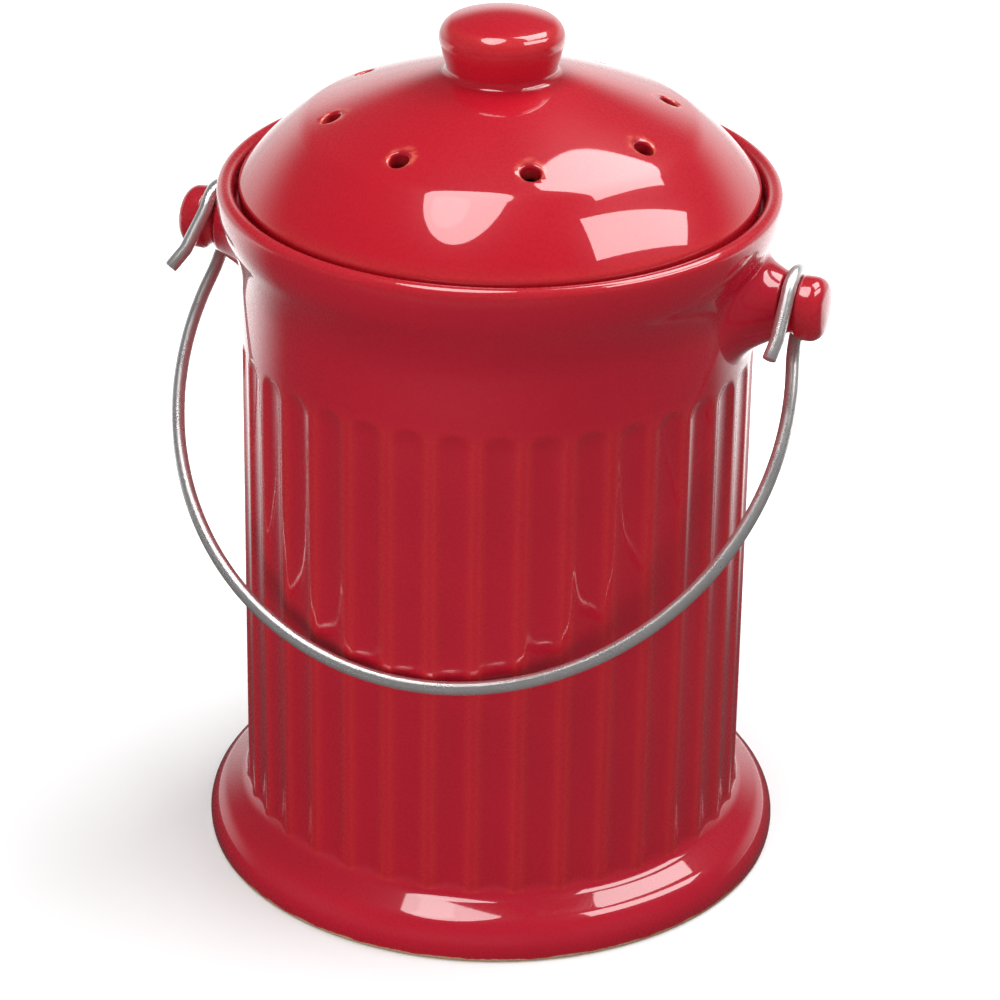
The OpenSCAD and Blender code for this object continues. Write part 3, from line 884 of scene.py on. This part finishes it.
def makeFilter():
    f = filterMake
    clearSelection()
    middle = (0, 0, (f["high"] + f["low"]) / 2 * mm)
    bpy.ops.mesh.primitive_cylinder_add(vertices=128, radius=f["radius"] * mm, end_fill_type="NGON",
                                        depth=(f["high"] - f["low"]) * mm, location=middle)
    disc = bpy.context.object
    disc.name = "carbonFilter"
    disc.data.name = "carbonFilter"
    bpy.ops.object.mode_set(mode="EDIT")
    bpy.ops.mesh.select_all(action="SELECT")
    bpy.ops.mesh.bevel(offset=f["edge"] * mm, segments=4, affect="EDGES", clamp_overlap=True)
    bpy.ops.mesh.select_mode(type="FACE")
    bpy.ops.mesh.select_all(action="DESELECT")
    bpy.ops.object.mode_set(mode="OBJECT")
    for face in disc.data.polygons:
        face.select = len(face.vertices) > 100
    bpy.ops.object.mode_set(mode="EDIT")
    for ring in range(f["rings"]):
        bpy.ops.mesh.inset(thickness=f["radius"] * mm / (f["rings"] + 1.5), use_individual=True)
    bpy.ops.mesh.poke()
    bpy.ops.object.mode_set(mode="OBJECT")
    closeMesh(disc)
    felt = bpy.data.textures.new("felt", "CLOUDS")
    felt.noise_scale = f["feltScale"]
    disc.vertex_groups.new(name="faces")
    flat = [v.index for v in disc.data.vertices if math.hypot(v.co.x, v.co.y) < (f["radius"] - 2) * mm]
    disc.vertex_groups["faces"].add(flat, 1.0, "REPLACE")
    applyModifier(disc, "DISPLACE", "felt", texture=felt, strength=-f["unevenness"] * mm, mid_level=0,
                  vertex_group="faces", texture_coords="LOCAL")
    return disc


feltLook = {
    "black": (0.012, 0.012, 0.013, 1), "grey": (0.06, 0.06, 0.063, 1), "bump": 0.8, "napDepth": 0.0006,
}


def makeFelt(look):
    material, tree, shader = newMaterial("carbon felt")
    coords = addNode(tree, "ShaderNodeTexCoord", (-1200, 0)).outputs["Object"]
    fibres = noise(tree, coords, 1500, 5, (-1000, 100), 0.75)
    clumps = noise(tree, coords, 240, 3, (-1000, -150), 0.6)
    both = maths(tree, "MULTIPLY", fibres, clumps, (-800, 0))
    tips = ramp(tree, both, 0.12, 0.42, (-600, 0))
    colour = mixColour(tree, tips, look["black"], look["grey"], (-400, 100))
    tree.links.new(colour, shader.inputs["Base Color"])
    tree.links.new(ramp(tree, fibres, 0.2, 0.8, (-400, -100), 0.85, 1.0), shader.inputs["Roughness"])
    addBump(tree, shader, both, look["bump"], look["napDepth"], (-300, -250))
    shader.inputs["Specular IOR Level"].default_value = 0.2
    return material


carbonFilter = makeFilter()
dress(carbonFilter, makeFelt(feltLook))
bpy.ops.object.shade_smooth_by_angle(angle=math.radians(40))
print("filter laid in the lid")

# ---- riding, and the nodes that the pieces stand for ----

for piece, body, node, slot in (
        (crock, "crock", "crock", "crock_glaze"),
        (lid, "lid", "lid", "lid_glaze"),
        (bail, "bail", "bail", "bail_wire"),
        (carbonFilter, "filter", "carbon_filter", "filter_felt")):
    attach(piece, body)
    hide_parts(node)

# ---- floor, lamps and camera ----

studio = {
    "floorColour": (0.80, 0.80, 0.80, 1), "floorFront": (0.09, 0.085, 0.085, 1),
    "frontWay": (0.327, -0.945), "aim": (0.0, 0.0, 0.1),
    "horizon": 1.0, "sky": 0.09, "lampColour": (1.0, 0.96, 0.965), "seenFloor": (0.95, 1.0, 1.0, 1),
    # soft boxes hung level above: place, turn, width, depth, power
    "boxes": [
        ("octaLeft", (-0.14, -0.18, 1.24), 0, 0.46, 0.80, 6.0),
        ("octaLeftCore", (-0.20, -0.26, 1.23), 0, 0.22, 0.36, 0.2),
        ("boxRight", (0.40, 0.62, 1.24), -23, 0.58, 0.76, 9.4),
        ("stripRight", (1.03, 0.33, 1.24), -34, 0.42, 1.20, 11.0),
    ],
    # broad lamps that light the front without a mirror image in the glaze: place, width, depth, power
    "fills": [
        ("fillLeft", (-1.30, -0.95, 0.45), 1.2, 1.0, 9.0),
        ("fillFront", (0.25, -1.55, 0.45), 1.4, 0.8, 9.0),
        ("fillRight", (1.40, -0.55, 0.45), 1.0, 1.0, 6.0),
        ("fillLow", (0.0, -0.55, 0.05), 0.9, 0.1, 0.9),
    ],
}


def aheadOf(tree, split):
    # distance from the middle towards the front, square to the picture
    across = maths(tree, "MULTIPLY", split.outputs["X"], studio["frontWay"][0], (-900, -150))
    along = maths(tree, "MULTIPLY", split.outputs["Y"], studio["frontWay"][1], (-900, -300))
    return maths(tree, "ADD", across, along, (-800, -250))


def makeFloor():
    clearSelection()
    bpy.ops.mesh.primitive_plane_add(size=12, location=(0, 0, 0))
    floor = bpy.context.object
    floor.name = "floor"
    material, tree, shader = newMaterial("pale floor")
    coords = addNode(tree, "ShaderNodeTexCoord", (-1200, 0)).outputs["Object"]
    split = addNode(tree, "ShaderNodeSeparateXYZ", (-1000, 0))
    tree.links.new(coords, split.inputs[0])
    # a dark cloth lies before the object, outside the picture: the glaze mirrors it
    front = ramp(tree, aheadOf(tree, split), -0.34, -0.07, (-650, 0))
    colour = mixColour(tree, front, studio["floorColour"], studio["floorFront"], (-500, 0))
    path = addNode(tree, "ShaderNodeLightPath", (-700, 300))
    colour = mixColour(tree, path.outputs["Is Camera Ray"], colour, studio["seenFloor"], (-300, 100))
    tree.links.new(colour, shader.inputs["Base Color"])
    # away from the object the sheet is pure white, for the camera and in the glaze and the wire
    away = addNode(tree, "ShaderNodeVectorMath", (-900, 500), operation="LENGTH")
    tree.links.new(coords, away.inputs[0])
    seen = ramp(tree, away.outputs["Value"], 0.10, 0.42, (-700, 500), 0.10, 1.0)
    seen = maths(tree, "MULTIPLY", seen, path.outputs["Is Camera Ray"], (-500, 500))
    mirrored = ramp(tree, away.outputs["Value"], 0.10, 0.30, (-700, 700), 0.0, 0.8)
    mirrored = maths(tree, "MULTIPLY", mirrored, path.outputs["Is Glossy Ray"], (-500, 700))
    notFront = maths(tree, "SUBTRACT", 1.0, front, (-500, 850))
    mirrored = maths(tree, "MULTIPLY", mirrored, notFront, (-300, 750))
    glow = maths(tree, "ADD", seen, mirrored, (-200, 500))
    tree.links.new(glow, shader.inputs["Emission Strength"])
    shader.inputs["Emission Color"].default_value = (1, 1, 1, 1)
    shader.inputs["Roughness"].default_value = 0.9
    shader.inputs["Specular IOR Level"].default_value = 0.0
    floor.data.materials.append(material)
    return floor


def makeWorld():
    # white all round at the horizon behind the object, dim above and in front
    world = bpy.data.worlds.new("studio")
    bpy.context.scene.world = world
    world.use_nodes = True
    tree = world.node_tree
    back = tree.nodes["Background"]
    coords = addNode(tree, "ShaderNodeTexCoord", (-1200, 0)).outputs["Generated"]
    split = addNode(tree, "ShaderNodeSeparateXYZ", (-1000, 0))
    tree.links.new(coords, split.inputs[0])
    height = ramp(tree, split.outputs["Z"], 0.12, 0.45, (-800, 0), 1.0, 0.0)
    behind = ramp(tree, aheadOf(tree, split), -0.75, -0.15, (-650, -250), 1.0, 0.0)
    low = maths(tree, "MULTIPLY", height, behind, (-500, -100))
    light = maths(tree, "MULTIPLY", low, studio["horizon"] - studio["sky"], (-400, -100))
    light = maths(tree, "ADD", light, studio["sky"], (-300, -100))
    path = addNode(tree, "ShaderNodeLightPath", (-600, 300))
    level = addNode(tree, "ShaderNodeMix", (-200, 0), data_type="FLOAT")
    tree.links.new(path.outputs["Is Camera Ray"], level.inputs[0])
    tree.links.new(light, level.inputs[2])
    level.inputs[3].default_value = 1.0
    tree.links.new(level.outputs[0], back.inputs["Strength"])
    back.inputs["Color"].default_value = (1, 1, 1, 1)


def addLamp(name, place, width, depth, power):
    light = bpy.data.lights.new(name, "AREA")
    light.shape = "ELLIPSE" if name.startswith("octa") else "RECTANGLE"
    light.size = width
    light.size_y = depth
    light.energy = power
    light.color = studio["lampColour"]
    lamp = bpy.data.objects.new(name, light)
    bpy.context.scene.collection.objects.link(lamp)
    lamp.location = place
    return lamp


def makeLamps():
    for name, place, turn, width, depth, power in studio["boxes"]:
        lamp = addLamp(name, place, width, depth, power)
        lamp.rotation_euler = (0, 0, math.radians(turn))
    for name, place, width, depth, power in studio["fills"]:
        lamp = addLamp(name, place, width, depth, power)
        way = Vector(studio["aim"]) - lamp.location
        lamp.rotation_euler = way.to_track_quat("-Z", "Y").to_euler()
        lamp.visible_glossy = False


view = {"place": (0.3788, -1.0931, 0.6979), "turn": 19.04, "tilt": 63.35, "roll": 0.877, "lens": 143.25}


def makeCamera():
    data = bpy.data.cameras.new("camera")
    data.lens = view["lens"]
    data.sensor_width = 36
    camera = bpy.data.objects.new("camera", data)
    bpy.context.scene.collection.objects.link(camera)
    camera.matrix_world = (Matrix.Translation(view["place"])
                           @ Matrix.Rotation(math.radians(view["turn"]), 4, "Z")
                           @ Matrix.Rotation(math.radians(view["tilt"]), 4, "X")
                           @ Matrix.Rotation(math.radians(view["roll"]), 4, "Z"))
    bpy.context.scene.camera = camera


makeFloor()
makeWorld()
makeLamps()
makeCamera()
bpy.context.scene.view_settings.view_transform = "Standard"
print("studio set")

clearSelection()
